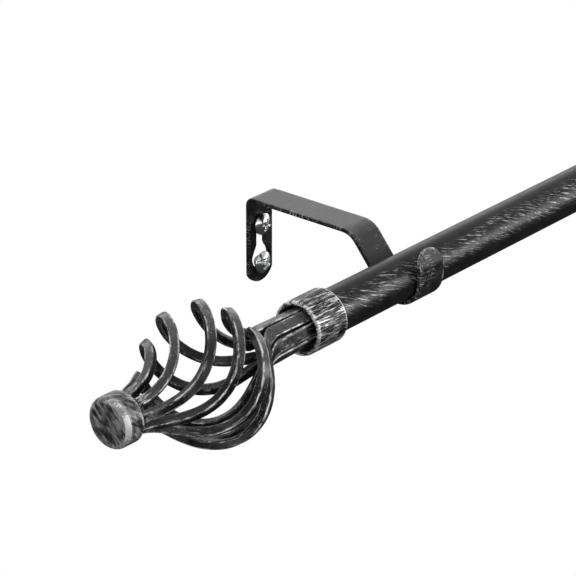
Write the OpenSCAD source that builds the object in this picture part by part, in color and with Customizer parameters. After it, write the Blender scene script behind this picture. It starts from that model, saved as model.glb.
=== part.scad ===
// Telescoping curtain rod with twisted cage finials, resting on two bent strip brackets.
// The origin is where the left bracket's upper screw enters the wall.
// +X runs along the rod to the right, +Y goes into the wall and +Z is up.

/* [Rod] */
// Outside diameter of the outer tube
rod_d = 16; // [15:0.1:16.2]
// Wall thickness of both tubes
tube_wall = 0.7; // [0.5:0.1:0.8]
// Outside diameter of the inner tube
inner_d = 13; // [11:0.5:13]
// Length of the outer tube
outer_len = 690; // [450:10:1200]
// How much shorter the inner tube is than the outer one
inner_short = 60; // [60:5:120]
// Gap between the outer tube's end and the right collar with the rod closed
closed_gap = 1; // [0.5:0.5:10]
// Distance from a collar's inboard face to the middle of its bracket
bracket_inset = 46.5; // [20:0.5:120]

/* [Bracket] */
// Width of the steel strip
strip_w = 13.2; // [12:0.2:14]
// Thickness of the strip
strip_t = 1.6; // [1.2:0.1:2]
// Distance from the wall to the rod's axis
reach = 70.4; // [64:0.2:110]
// Height of the arm's top face above the rod's axis
arm_rise = 12.2; // [11:0.1:14]
// Depth of the wall plate's lower end below the rod's axis
plate_drop = 23; // [23:0.2:30]
// Radius of the arc that ends the wall plate
plate_end_r = 7.3; // [7.1:0.1:9]
// Inside radius of the bend at the wall
wall_bend_r = 1.8; // [1:0.1:3]
// Top radius of the bend between the arm and the slope
slope_bend_r = 9; // [6:0.5:12]
// Angle of the slope below the horizontal
slope_angle = 50; // [45:1:55]
// Clearance added to the rod's radius in the cradle
cradle_gap = 0.6; // [0.4:0.1:1]
// Clearance left under the resting rod
rest_gap = 0.3; // [0.2:0.05:0.4]
// Height above the cradle's middle at which the hook bends over the rod
tip_bend_z = 4.3; // [3:0.1:6]
// Angle at which the hook's tip leans over the rod
tip_lean = 18; // [5:1:20]
// Length of the leaning tip with its round end
tip_len = 5.9; // [5.8:0.1:10]

/* [Wall screws] */
// Distance between the upper and lower screw
screw_spacing = 15.3; // [15:0.1:15.4]
// Diameter of the head
head_d = 8.3; // [7.5:0.1:8.6]
// Height of the head
head_h = 2.7; // [2.2:0.1:3]
// Height of the straight edge of the head
head_edge = 0.8; // [0.5:0.1:1.2]
// Diameter of the plain shank and of the thread's crests
shank_d = 4.2; // [3.8:0.1:4.2]
// Diameter of the core under the thread
core_d = 3; // [2.6:0.1:3.2]
// Length under the head
screw_len = 32; // [25:1:50]
// Length of the plain shank
plain_len = 8; // [6:0.5:12]
// Distance between thread crests
thread_pitch = 1.6; // [1.2:0.1:2]
// Gap between the plate and the underside of a head
head_gap = 0.5; // [0.2:0.1:1]
// Diameter of the keyhole's round opening
keyhole_d = 9.2; // [9:0.1:9.6]
// Depth of that opening's middle below the upper screw
keyhole_drop = 13; // [12.8:0.1:13.2]
// Width of the keyhole's slot
slot_w = 4.5; // [4.4:0.1:4.8]

/* [Collar] */
// Outside diameter of the collar
collar_d = 19.7; // [19:0.1:21]
// Length of the collar
collar_len = 15.2; // [13:0.2:18]
// Diameter of the bore right through the collar
collar_bore = 16.5; // [16.4:0.1:16.8]
// How far a tube goes into the collar
tube_seat = 7; // [6:0.5:8]
// Thickness of the plug disc inside the collar
plug_t = 2.2; // [1.5:0.1:3]
// Diameter of the set screw
set_d = 4; // [3:0.5:4]
// Distance of the set screw's axis from the collar's inboard face
set_inset = 3; // [3:0.1:3.6]
// Angle of the set screw below the horizontal
set_angle = 18; // [0:1:60]

/* [Cage] */
// Number of bars in a cage
bar_count = 8; // [8:1:8]
// Side of a bar's square section in the cage
bar_w = 3.2; // [2.6:0.1:3.2]
// Flat that breaks each corner of that section
bar_edge = 0.45; // [0.45:0.05:0.9]
// Radius of the ring of bars at the end cap and at the bend
ring_r = 5.6; // [5.6:0.05:5.8]
// Radius of the ring of bars where they meet the plug in the collar
plug_ring_r = 5; // [5:0.05:5.2]
// Width of a bar's outer face in the neck
neck_outer_w = 4.8; // [4:0.1:4.8]
// Width of a bar's inner face in the neck
neck_inner_w = 2.4; // [2:0.1:2.4]
// Length past the neck over which a bar narrows to its width in the cage
flare_len = 9; // [5:0.5:14]
// Largest radius of the bars' centre line
cage_r = 23.7; // [18:0.1:26]
// Distance from the collar's inboard face to the end cap's inner face
cage_end = 100.4; // [94:0.2:110]
// Distance from the collar's inboard face to the bend where the bars open out
neck_end = 32.3; // [30:0.1:35]
// Share of the cage's formula that is left out at the end cap
cage_start = 0.155; // [0.1:0.005:0.25]
// Power that moves the widest place towards the neck
cage_skew = 1.56; // [1.3:0.02:1.8]
// Power that sharpens the bulge
cage_power = 2.52; // [1.8:0.02:3]
// Angle of the first bar at the start of the formula
twist_start = 158; // [0:1:360]
// Even part of the twist along the cage
twist_even = 172; // [150:1:200]
// Part of the twist that grows towards the neck
twist_grow = 212; // [180:1:240]
// Part of the twist that eases both ends
twist_ease = 17.9; // [10:0.1:20]

/* [End cap] */
// Diameter of the end cap
cap_d = 18; // [16:0.1:20]
// Thickness of the end cap
cap_t = 7.6; // [5:0.1:10]
// Radius of the rounding around its outer face
cap_round = 1.8; // [1:0.1:2.4]
// Diameter of the spigots inside the ring of bars
spigot_d = 6.6; // [6:0.1:6.6]
// Length of the end cap's spigot
cap_spigot_len = 6; // [4:0.5:9]

/* [Hidden] */
$fn = 96;
SIDES = ["left", "right"];
inner_len = outer_len - inner_short;
tube_left = -bracket_inset - tube_seat;
tube_right = tube_left + outer_len;
right_collar_x = tube_right + closed_gap;
right_bracket_x = right_collar_x - bracket_inset;
inner_right = right_collar_x + tube_seat;
cradle_r = rod_d / 2 + cradle_gap;
cradle_z = cradle_gap - rest_gap;
plug_gap = 0.2;
neck_d = shank_d - 0.5;
plug_front = tube_seat + plug_gap + plug_t;
neck_spigot_len = 20;
tip_bend_r = 3;
bend_steps = 10;
cradle_steps = 30;
cage_steps = 32;
// How far each bar strays from even spacing where the cage is widest.
bar_stray = [5, 1, 2, -5, 1, -1, -10, -3];
edge_break = 0.5;

function polar(centre, r, a) = centre + r * [cos(a), sin(a)];
function arc(centre, r, a0, a1, steps) =
    [for (i = [0:steps]) polar(centre, r, a0 + (a1 - a0) * i / steps)];
function reversed(list) = [for (i = [len(list) - 1:-1:0]) list[i]];

// The strip is drawn side on, in Y and Z, from the foot of the wall plate to the hook's tip.
wall_bend_c = [-strip_t - wall_bend_r, arm_rise - strip_t - wall_bend_r];
cradle_c = [-reach, cradle_z];
// Where the slope's top face would meet the arm's, which places the slope's bend.
slope_corner = -reach + (cradle_r + cos(slope_angle) * (arm_rise - cradle_z)) / sin(slope_angle);
slope_bend_c = [slope_corner + slope_bend_r * tan(slope_angle / 2), arm_rise - slope_bend_r];
tip_bend_c = [-reach - cradle_r + tip_bend_r, cradle_z + tip_bend_z];
tip_dir = [sin(tip_lean), cos(tip_lean)];

// One face of the strip: depth 0 is the wall, top and rod face, and strip_t is the other one.
function strip_face(depth) = concat(
    [[-depth, -plate_drop]],
    arc(wall_bend_c, wall_bend_r + strip_t - depth, 0, 90, bend_steps),
    arc(slope_bend_c, slope_bend_r - depth, 90, 90 + slope_angle, bend_steps),
    arc(cradle_c, cradle_r + depth, slope_angle - 90, -180, cradle_steps),
    arc(tip_bend_c, tip_bend_r + depth, 180, 180 - tip_lean, bend_steps),
    [polar(tip_bend_c, tip_bend_r + depth, 180 - tip_lean) + tip_len * tip_dir]
);

// Lays a side-on outline across the strip's width.
module across_width(w) {
    translate([-w / 2, 0, 0]) rotate([90, 0, 90]) linear_extrude(w) children();
}

// What is cut away to leave a round end of radius r on a strip that ends at z = 0 and faces Y.
module round_end_cut(r) {
    sag = r - sqrt(r * r - strip_w * strip_w / 4 + 0.0001);
    difference() {
        translate([-strip_w, -3 * strip_t, -sag]) cube([2 * strip_w, 6 * strip_t, sag + 2]);
        translate([0, 0, -r]) rotate([90, 0, 0]) cylinder(r = r, h = 8 * strip_t, center = true);
    }
}

module keyhole() {
    depth = 3 * strip_t;
    translate([0, 0, -keyhole_drop]) rotate([90, 0, 0]) cylinder(d = keyhole_d, h = 2 * depth, center = true);
    rotate([90, 0, 0]) cylinder(d = slot_w, h = 2 * depth, center = true);
    translate([-slot_w / 2, -depth, -keyhole_drop]) cube([slot_w, 2 * depth, keyhole_drop]);
}

module bracket() {
    tip_end = polar(tip_bend_c, tip_bend_r + strip_t / 2, 180 - tip_lean) + tip_len * tip_dir;
    color("#26262a") difference() {
        across_width(strip_w) polygon(concat(strip_face(0), reversed(strip_face(strip_t))));
        translate([0, -strip_t / 2, -plate_drop]) mirror([0, 0, 1]) round_end_cut(plate_end_r);
        translate([0, tip_end[0], tip_end[1]]) rotate([-tip_lean, 0, 0]) round_end_cut(strip_w / 2 + 0.01);
        keyhole();
    }
}

// A pan head wood screw along +Z with the underside of its head at z = 0. Its neck is slimmer than
// its shank where it passes through the bracket.
module wall_screw() {
    dome = head_h - head_edge;
    dome_r = (head_d * head_d / 4 + dome * dome) / (2 * dome);
    point_len = 4;
    recess_w = 0.95;
    recess_len = 4.6;
    recess_depth = 1.5;
    thread_len = screw_len - plain_len - point_len;
    grip = strip_t + head_gap;
    color("#d8dadd") union() {
        difference() {
            intersection() {
                translate([0, 0, -head_h]) cylinder(d = head_d, h = head_h);
                translate([0, 0, dome_r - head_h]) sphere(r = dome_r);
            }
            for (a = [0, 90]) rotate([0, 0, a])
                translate([-recess_w / 2, -recess_len / 2, -head_h - 1]) cube([recess_w, recess_len, recess_depth + 1]);
            translate([0, 0, -head_h - 0.1]) cylinder(d1 = 2.6, d2 = 1, h = recess_depth + 0.4);
        }
        translate([0, 0, -0.2]) cylinder(d = neck_d, h = grip + 0.2);
        translate([0, 0, grip]) cylinder(d = shank_d, h = plain_len - grip);
        cylinder(d = core_d, h = screw_len - point_len);
        translate([0, 0, screw_len - point_len]) cylinder(d1 = core_d, d2 = 0.4, h = point_len);
        for (z = [plain_len + thread_pitch:thread_pitch:plain_len + thread_len - thread_pitch / 2])
            translate([0, 0, z]) thread_crest();
    }
}

// One turn of thread, drawn as a ring.
module thread_crest() {
    flank = thread_pitch * 0.3;
    translate([0, 0, -flank]) cylinder(d1 = core_d - 0.1, d2 = shank_d, h = flank);
    cylinder(d1 = shank_d, d2 = core_d - 0.1, h = flank);
}

module tube(d, len) {
    rotate([0, 90, 0]) difference() {
        cylinder(d = d, h = len);
        translate([0, 0, -1]) cylinder(d = d - 2 * tube_wall, h = len + 2);
    }
}

module sleeve(d, bore, len) {
    rotate([0, 90, 0]) difference() {
        cylinder(d = d, h = len);
        translate([0, 0, -1]) cylinder(d = bore, h = len + 2);
    }
}

module outer_tube() {
    color("#1e1e21") translate([tube_left, -reach, 0]) tube(rod_d, outer_len);
}

module inner_tube() {
    color("#1e1e21") translate([inner_right - inner_len, -reach, 0]) tube(inner_d, inner_len);
}

// The plastic ring on the inner tube's hidden end, which keeps it central.
module inner_tube_glide() {
    glide_len = 14;
    bore_d = rod_d - 2 * tube_wall;
    color("#e8e6e0") translate([inner_right - inner_len, -reach, 0])
        sleeve(bore_d - 0.5, inner_d + 0.1, glide_len);
}

// The split plastic sleeve that brings the inner tube up to the outer one's size in the collar.
module finial_adapter() {
    split_w = 1.2;
    color("#19191b") translate([right_collar_x + 0.2, -reach, 0]) difference() {
        sleeve(rod_d, inner_d + 0.1, tube_seat - 0.2);
        translate([-1, -split_w / 2, 0]) cube([tube_seat + 2, split_w, rod_d]);
    }
}

// The finial is drawn for the left end, pointing to -X, with the collar's inboard face at x = 0.
module on_side(side) {
    if (side == "left") translate([-bracket_inset, -reach, 0]) children();
    else translate([right_collar_x, -reach, 0]) rotate([0, 0, 180]) children();
}

module turned(outline) {
    rotate([0, -90, 0]) rotate_extrude() polygon(outline);
}

module along_set_screw(from_r) {
    translate([-set_inset, 0, 0]) rotate([90 + set_angle, 0, 0]) translate([0, 0, from_r]) children();
}

module collar() {
    lip = 0.8;
    color("#3b3b3f") difference() {
        turned(concat(
            [[collar_bore / 2, 0], [collar_d / 2 - edge_break, 0]],
            arc([collar_d / 2 - edge_break, edge_break], edge_break, -90, 0, 4),
            arc([collar_d / 2 - lip, collar_len - lip], lip, 0, 90, 6),
            [[collar_bore / 2 + edge_break, collar_len], [collar_bore / 2, collar_len - edge_break]]
        ));
        along_set_screw(collar_bore / 2 - 2) cylinder(d = set_d + 0.1, h = 8);
    }
}

module set_screw() {
    tip_gap = 0.3;
    sink = 0.25;
    base = rod_d / 2 + tip_gap;
    len = collar_d / 2 - sink - base;
    color("#101012") along_set_screw(base) difference() {
        cylinder(d = set_d, h = len);
        translate([0, 0, len - 0.8]) cylinder(d = set_d / 2, h = 2, $fn = 6);
    }
}

module neck_plug() {
    disc_d = collar_bore - 0.1;
    color("#1c1c1f") turned([
        [0, plug_front - plug_t], [disc_d / 2, plug_front - plug_t], [disc_d / 2, plug_front],
        [spigot_d / 2, plug_front], [spigot_d / 2, plug_front + neck_spigot_len], [0, plug_front + neck_spigot_len]
    ]);
}

module end_cap() {
    r = cap_d / 2;
    outer_x = cage_end + cap_t;
    color("#515156") turned(concat(
        [[0, cage_end - cap_spigot_len], [spigot_d / 2, cage_end - cap_spigot_len], [spigot_d / 2, cage_end]],
        arc([r - edge_break, cage_end + edge_break], edge_break, -90, 0, 4),
        arc([r - cap_round, outer_x - cap_round], cap_round, 0, 90, 8),
        [[0, outer_x]]
    ));
}

// The bars' centre line for a share v of the cage's formula, which runs from the cap to the neck.
cage_len = (cage_end - neck_end) / (1 - cage_start);
function cage_dist(v) = neck_end + cage_len * (1 - v);
function cage_radius(v) = ring_r + (cage_r - ring_r) * pow(sin(180 * pow(v, cage_skew)), cage_power);
function cage_angle(v) = twist_start + twist_even * v + twist_grow * (v * v - v) + twist_ease * -sin(360 * v);

// How far bar i has strayed at v. It is back in its place where the bars are straight.
function stray(i, v) = bar_stray[i - 1] * sin(180 * pow(v, cage_skew));

// A point at a distance, radius and angle: 0 faces the room, 90 is the top.
function bar_point(dist, r, a) = [-dist, -r * cos(a), r * sin(a)];
function bar_line(i) = let (turn = -(i - 1) * 360 / bar_count) concat(
    [bar_point(cage_end, ring_r, cage_angle(cage_start) + turn + stray(i, cage_start))],
    [for (k = [1:cage_steps])
        let (v = cage_start + (1 - cage_start) * k / cage_steps)
        bar_point(cage_dist(v), cage_radius(v), cage_angle(v) + turn + stray(i, v))],
    [bar_point((neck_end + plug_front) / 2, (ring_r + plug_ring_r) / 2, cage_angle(1) + turn),
     bar_point(plug_front, plug_ring_r, cage_angle(1) + turn)]
);

function unit(v) = v / norm(v);
// Direction of the line at point k. Both ends are square to the cap and the plug.
function heading(line, k) =
    k == 0 || k >= len(line) - 2 ? [1, 0, 0] : unit(line[k + 1] - line[k - 1]);

// How much of the neck's width a bar has at a distance: 0 in the cage and 1 in the neck.
function flare(dist) = let (s = max(0, min(1, (neck_end + flare_len - dist) / flare_len))) s * s * (3 - 2 * s);

// The corners of a bar's section with its outer and inner widths: a square in the cage, a wedge in the neck.
function bar_corners(outer_w, inner_w) =
    let (h = bar_w / 2, e = bar_edge, o = outer_w / 2, i = inner_w / 2, ease = (o - i) * e / bar_w)
    [[h, o - e], [h - e, o - ease], [e - h, i + ease], [-h, i - e],
     [-h, e - i], [e - h, -i - ease], [h - e, ease - o], [h, e - o]];

// The section at point k, with its outer face turned away from the axis.
function bar_section(line, k) =
    let (
        t = heading(line, k),
        away = unit([0, line[k][1], line[k][2]]),
        n = unit(away - (away * t) * t),
        b = cross(t, n),
        s = flare(-line[k][0])
    )
    [for (c = bar_corners(bar_w + (neck_outer_w - bar_w) * s, bar_w + (neck_inner_w - bar_w) * s))
        line[k] + c[0] * n + c[1] * b];

module cage_bar(i) {
    line = bar_line(i);
    last = len(line) - 1;
    n = len(bar_section(line, 0));
    points = [for (k = [0:last]) each bar_section(line, k)];
    sides = [for (k = [0:last - 1], j = [0:n - 1])
        let (a = n * k + j, b = n * k + (j + 1) % n)
        each [[a, b, b + n], [a, b + n, a + n]]];
    ends = [[for (j = [n - 1:-1:0]) j], [for (j = [0:n - 1]) n * last + j]];
    color("#2c2c30") polyhedron(points, concat(sides, ends));
}

outer_tube();
inner_tube();
inner_tube_glide();
finial_adapter();
for (side = SIDES) {
    bracket_x = side == "left" ? 0 : right_bracket_x;
    head_y = -strip_t - head_gap;
    translate([bracket_x, 0, 0]) bracket();
    translate([bracket_x, head_y, 0]) rotate([-90, 20, 0]) wall_screw();
    translate([bracket_x, head_y, -screw_spacing]) rotate([-90, 28, 0]) wall_screw();
    on_side(side) collar();
    on_side(side) set_screw();
    on_side(side) neck_plug();
    on_side(side) end_cap();
    for (i = [1:bar_count])
        on_side(side) cage_bar(i);
}
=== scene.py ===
"""Curtain rod with twisted cage finials and bent strip brackets: meshes, finishes, light and camera.

Lengths in the constants are millimetres and are turned into metres where a mesh is made.
"""
import math

import bmesh
import bpy
import mathutils
from mathutils import Matrix, Vector, noise
from mathutils.geometry import delaunay_2d_cdt


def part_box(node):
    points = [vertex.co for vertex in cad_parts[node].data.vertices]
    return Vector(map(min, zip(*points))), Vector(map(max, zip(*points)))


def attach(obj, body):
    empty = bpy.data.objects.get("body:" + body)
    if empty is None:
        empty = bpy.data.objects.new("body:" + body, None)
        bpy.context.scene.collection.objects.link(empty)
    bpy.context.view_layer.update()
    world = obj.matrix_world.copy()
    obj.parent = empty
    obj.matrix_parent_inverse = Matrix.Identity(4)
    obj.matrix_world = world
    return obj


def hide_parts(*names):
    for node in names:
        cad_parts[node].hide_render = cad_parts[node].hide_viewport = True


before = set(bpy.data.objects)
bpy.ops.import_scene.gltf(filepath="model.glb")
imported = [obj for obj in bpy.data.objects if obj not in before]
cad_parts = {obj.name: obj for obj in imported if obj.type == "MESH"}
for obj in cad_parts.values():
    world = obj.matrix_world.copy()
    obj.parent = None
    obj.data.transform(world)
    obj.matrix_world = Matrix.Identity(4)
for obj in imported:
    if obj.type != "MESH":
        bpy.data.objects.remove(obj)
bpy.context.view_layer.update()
MM = 0.001
SIDES = ("left", "right")

# The tubes
TUBE_WALL = 0.7

# The strip of the brackets
STRIP_W = 13.2
STRIP_T = 1.6
# How much less than its arris the strip's rounded edge is rubbed
FACE_RUB = 0.72
REACH = -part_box("outer_tube")[0].y / MM - 8.0
ARM_RISE = 12.2
PLATE_DROP = 23.0
PLATE_END_R = 7.3
WALL_BEND_R = 1.8
SLOPE_BEND_R = 9.0
SLOPE_ANGLE = 50.0
CRADLE_R = 8.6
CRADLE_Z = 0.3
TIP_BEND_R = 3.0
TIP_BEND_Z = 4.3
TIP_LEAN = 18.0
TIP_LEN = 5.9
STRIP_EDGE_R = 0.3

# The wall screws and the keyhole
SCREW_SPACING = 15.3
HEAD_D = 8.3
HEAD_H = 2.7
HEAD_EDGE = 0.8
HEAD_GAP = 0.5
SHANK_D = 4.2
CORE_D = 3.0
SCREW_LEN = 32.0
PLAIN_LEN = 8.0
POINT_LEN = 4.0
THREAD_PITCH = 1.6
KEYHOLE_D = 9.2
KEYHOLE_DROP = 13.0
SLOT_W = 4.5

# The collar with its set screw and plug
COLLAR_D = 19.7
COLLAR_LEN = 15.2
COLLAR_BORE = 16.5
SET_D = 4.0
SET_INSET = 3.0
SET_ANGLE = 18.0
SPIGOT_D = 6.6
PLUG_BACK = 7.2
PLUG_FRONT = 9.4
SPIGOT_LEN = 20.0

# The cage
BAR_COUNT = 8
BAR_W = 3.2
BAR_EDGE_R = 0.6
BAR_STRAY = (5, 1, 2, -5, 1, -1, -10, -3)
RING_R = 5.6
PLUG_RING_R = 5.0
NECK_OUTER_W = 4.8
NECK_INNER_W = 2.4
FLARE_LEN = 9.0
CAGE_R = 23.7
CAGE_END = 100.4
NECK_END = 32.3
CAGE_START = 0.155
CAGE_SKEW = 1.56
CAGE_POWER = 2.52
TWIST_START = 158.0
TWIST_EVEN = 172.0
TWIST_GROW = 212.0
TWIST_EASE = 17.9

# The end cap
CAP_D = 18.0
CAP_T = 7.6
CAP_ROUND = 1.8


# ---------------------------------------------------------------- meshes

def arc(cx, cy, r, a0, a1, steps):
    """Points along an arc, its angles in degrees."""
    turn = [math.radians(a0 + (a1 - a0) * i / steps) for i in range(steps + 1)]
    return [(cx + r * math.cos(a), cy + r * math.sin(a)) for a in turn]


def smooth(value):
    """Eases a value from 0 to 1."""
    value = max(0.0, min(1.0, value))
    return value * value * (3 - 2 * value)


def build(name, points, faces, uvs, wear, material):
    """A smooth mesh from points and UVs in mm, its faces turned outward. wear is 1 on an edge that hands rub
    and 0 away from it, and the mesh gets dust, 1 where it faces up."""
    mesh = bpy.data.meshes.new(name)
    mesh.from_pydata([Vector(p) * MM for p in points], [], faces)
    layer = mesh.uv_layers.new(name="brush")
    for loop in mesh.loops:
        layer.data[loop.index].uv = uvs[loop.index]
    solid = bmesh.new()
    solid.from_mesh(mesh)
    if solid.calc_volume(signed=True) < 0:
        mesh.flip_normals()
    solid.free()
    worn = mesh.attributes.new("wear", "FLOAT", "POINT")
    worn.data.foreach_set("value", wear)
    settled = mesh.attributes.new("dust", "FLOAT", "POINT")
    settled.data.foreach_set("value", [max(0.0, n.vector.z) ** 4 for n in mesh.vertex_normals])
    mesh.materials.append(material)
    mesh.shade_smooth()
    mesh.set_sharp_from_angle(angle=math.radians(50))
    piece = bpy.data.objects.new(name, mesh)
    bpy.context.scene.collection.objects.link(piece)
    normals = piece.modifiers.new("normals", "WEIGHTED_NORMAL")
    normals.keep_sharp = True
    return piece


def loft(name, rings, along, around, wear, material, ends=True, place=None, flat=()):
    """Joins closed rings of points. along and around give the UVs, and ends closes both ends. The strips
    after the rings in flat face along X and are brushed straight across."""
    count = len(rings[0])
    points = [p for ring in rings for p in ring]
    faces, uvs = [], []
    for i in range(len(rings) - 1):
        for j in range(count):
            k = (j + 1) % count
            faces.append((i * count + j, i * count + k, (i + 1) * count + k, (i + 1) * count + j))
            right = around[j + 1]
            if i in flat:
                uvs += [(rings[m][n][1], rings[m][n][2]) for m, n in ((i, j), (i, k), (i + 1, k), (i + 1, j))]
                continue
            uvs += [(along[i], around[j]), (along[i], right),
                    (along[i + 1], right), (along[i + 1], around[j])]
    if ends:
        last = len(rings) - 1
        for i, order in ((0, range(count - 1, -1, -1)), (last, range(count))):
            faces.append([i * count + j for j in order])
            uvs += [(rings[i][j][1], rings[i][j][2]) for j in order]
    if place:
        points = [place @ Vector(p) for p in points]
    return build(name, points, faces, uvs, wear, material)


def lathe(name, outline, material, place, closed=False, segments=128, wear=None, shape=None, rub=None):
    """Turns an outline of (radius, distance) points about +X. shape moves a point by its angle, and rub
    is the share of the wear at an angle, which can also hold a painted highlight on one side."""
    worn = wear or [0.0] * len(outline)
    if closed:
        outline = outline + outline[:1]
        worn = worn + worn[:1]
    rings, along, total = [], [], 0.0
    for i, (r, x) in enumerate(outline):
        total += math.dist(outline[i], outline[i - 1]) if i else 0.0
        along.append(total)
        ring = []
        for j in range(segments):
            a = 2 * math.pi * j / segments
            p = Vector((x, -r * math.sin(a), -r * math.cos(a)))
            ring.append(shape(p, r, a) if shape else p)
        rings.append(ring)
    widest = max(r for r, _ in outline)
    around = [2 * math.pi * widest * j / segments for j in range(segments + 1)]
    share = [rub(2 * math.pi * j / segments) if rub else 1.0 for j in range(segments)]
    values = [w * part for w in worn for part in share]
    flat = [i for i, (a, b) in enumerate(zip(outline, outline[1:]))
            if abs(a[1] - b[1]) < 0.35 * abs(a[0] - b[0])]
    piece = loft(name, rings, along, around, values, material, not closed, place, flat)
    if closed:
        weld = piece.modifiers.new("seam", "WELD")
        weld.merge_threshold = 1e-6
        piece.modifiers.move(1, 0)
    return piece


def rounded_edges(corners, radii, steps=5):
    """An outline through the corners, each rounded by its radius, and the wear at each point."""
    points, wear = [], []
    count = len(corners)
    for i, corner in enumerate(corners):
        r = radii[i]
        if not r:
            points.append(tuple(corner))
            wear.append(0.0)
            continue
        here = Vector(corner)
        back = (Vector(corners[i - 1]) - here).normalized()
        on = (Vector(corners[(i + 1) % count]) - here).normalized()
        half = math.acos(max(-1.0, min(1.0, back.dot(on)))) / 2
        centre = here + (back + on).normalized() * (r / math.sin(half))
        start = here + back * (r / math.tan(half)) - centre
        end = here + on * (r / math.tan(half)) - centre
        for k in range(steps + 1):
            points.append(tuple(centre + start.slerp(end, k / steps).normalized() * r))
            wear.append(1.0)
    return points, wear


# ---------------------------------------------------------------- finishes

class Look:
    """One material and short calls for its nodes."""

    def __init__(self, name):
        self.material = bpy.data.materials.new(name)
        self.material.use_nodes = True
        self.tree = self.material.node_tree
        self.shader = self.tree.nodes["Principled BSDF"]
        self.place = self.add("ShaderNodeTexCoord").outputs["Object"]
        uv = self.add("ShaderNodeUVMap", uv_map="brush")
        self.brush = uv.outputs["UV"]
        self.wear = self.add("ShaderNodeAttribute", attribute_name="wear").outputs["Fac"]
        self.dust = self.add("ShaderNodeAttribute", attribute_name="dust").outputs["Fac"]

    def add(self, kind, **settings):
        node = self.tree.nodes.new(kind)
        for key, value in settings.items():
            setattr(node, key, value)
        return node

    def feed(self, socket, value):
        if isinstance(value, bpy.types.NodeSocket):
            self.tree.links.new(value, socket)
        else:
            socket.default_value = value

    def math(self, operation, a, b=0.0, clamp=False):
        node = self.add("ShaderNodeMath", operation=operation, use_clamp=clamp)
        self.feed(node.inputs[0], a)
        self.feed(node.inputs[1], b)
        return node.outputs[0]

    def noise(self, where, size, detail=3.0, rough=0.55, turn=0.0, shift=0.0):
        """Noise with grains of the given size: a number in metres, or one per axis in where's units."""
        size = (size,) * 3 if isinstance(size, float) else size
        mapping = self.add("ShaderNodeMapping", vector_type="POINT")
        self.feed(mapping.inputs["Vector"], where)
        mapping.inputs["Rotation"].default_value = (0.0, 0.0, turn)
        mapping.inputs["Location"].default_value = (shift, shift, shift)
        stretch = self.add("ShaderNodeVectorMath", operation="MULTIPLY")
        self.feed(stretch.inputs[0], mapping.outputs["Vector"])
        stretch.inputs[1].default_value = [1 / s for s in size]
        node = self.add("ShaderNodeTexNoise")
        self.feed(node.inputs["Vector"], stretch.outputs[0])
        node.inputs["Scale"].default_value = 1.0
        node.inputs["Detail"].default_value = detail
        node.inputs["Roughness"].default_value = rough
        return node.outputs["Fac"]

    def step(self, value, low, high, to_low=0.0, to_high=1.0):
        node = self.add("ShaderNodeMapRange", interpolation_type="SMOOTHSTEP")
        self.feed(node.inputs["Value"], value)
        node.inputs["From Min"].default_value = low
        node.inputs["From Max"].default_value = high
        node.inputs["To Min"].default_value = to_low
        node.inputs["To Max"].default_value = to_high
        return node.outputs["Result"]

    def mix(self, share, a, b):
        node = self.add("ShaderNodeMix", data_type="RGBA")
        self.feed(node.inputs["Factor"], share)
        self.feed(node.inputs["A"], (*a, 1.0) if isinstance(a, tuple) else a)
        self.feed(node.inputs["B"], (*b, 1.0) if isinstance(b, tuple) else b)
        return node.outputs["Result"]

    def set(self, **values):
        for key, value in values.items():
            self.feed(self.shader.inputs[key.replace("_", " ")], value)

    def bump(self, height, depth, strength=1.0):
        node = self.add("ShaderNodeBump")
        node.inputs["Strength"].default_value = strength
        node.inputs["Distance"].default_value = depth * MM
        self.feed(node.inputs["Height"], height)
        self.feed(self.shader.inputs["Normal"], node.outputs["Normal"])


BLACK = (0.006, 0.006, 0.0063)
DUSTY = (0.21, 0.21, 0.212)
SILVER = (0.84, 0.84, 0.83)
# The middle of the chips and runs added together, above which an edge is rubbed bare
RUB_NOISE = 1.7


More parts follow.
